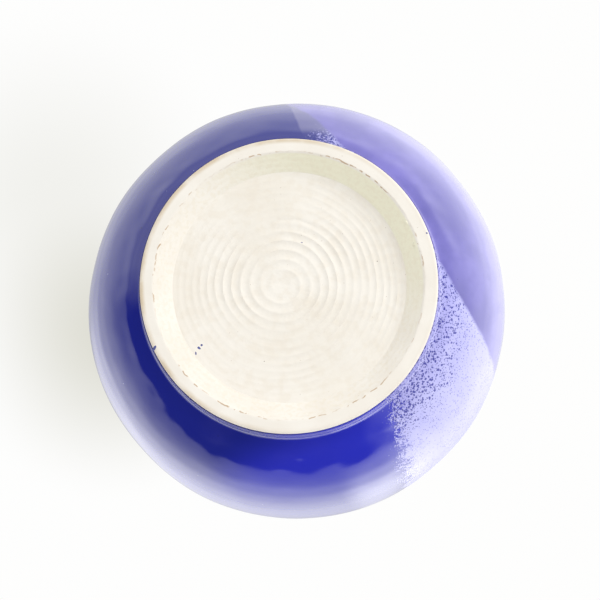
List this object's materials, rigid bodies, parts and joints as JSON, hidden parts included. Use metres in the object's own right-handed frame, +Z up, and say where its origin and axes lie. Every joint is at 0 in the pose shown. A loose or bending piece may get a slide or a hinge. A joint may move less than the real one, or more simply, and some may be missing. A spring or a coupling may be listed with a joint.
{
  "type": "yarn bowl",
  "caption": "Round stoneware bowl on a turned foot ring, with an inward-leaning wall, a curled yarn slot cut from the lip, and a gloss blue glaze with frosted and lavender dips.",
  "frame": {"origin": "centre of the foot ring's resting face", "axes": "+Z up out of the mouth, -Y towards the yarn slot, +X to the right seen from the slot's side"},
  "size_m": [0.155, 0.155, 0.1],
  "materials": {
    "clay": "bare fired stoneware",
    "foot_clay": "bare fired stoneware, wiped",
    "liner": "gloss glaze",
    "lip": "gloss glaze, thin over the edge",
    "cobalt": "gloss glaze",
    "frosted": "speckled satin overlap",
    "lavender": "gloss overlap"
  },
  "bodies": {
    "root": {"clay_bowl": "clay", "clay_wall": "clay", "foot_ring": "foot_clay", "liner_glaze": "liner", "lip_glaze": "lip", "cobalt_glaze": "cobalt", "frosted_glaze": "frosted", "frosted_glaze_sliver": "frosted", "lavender_glaze": "lavender"}
  },
  "joints": []
}
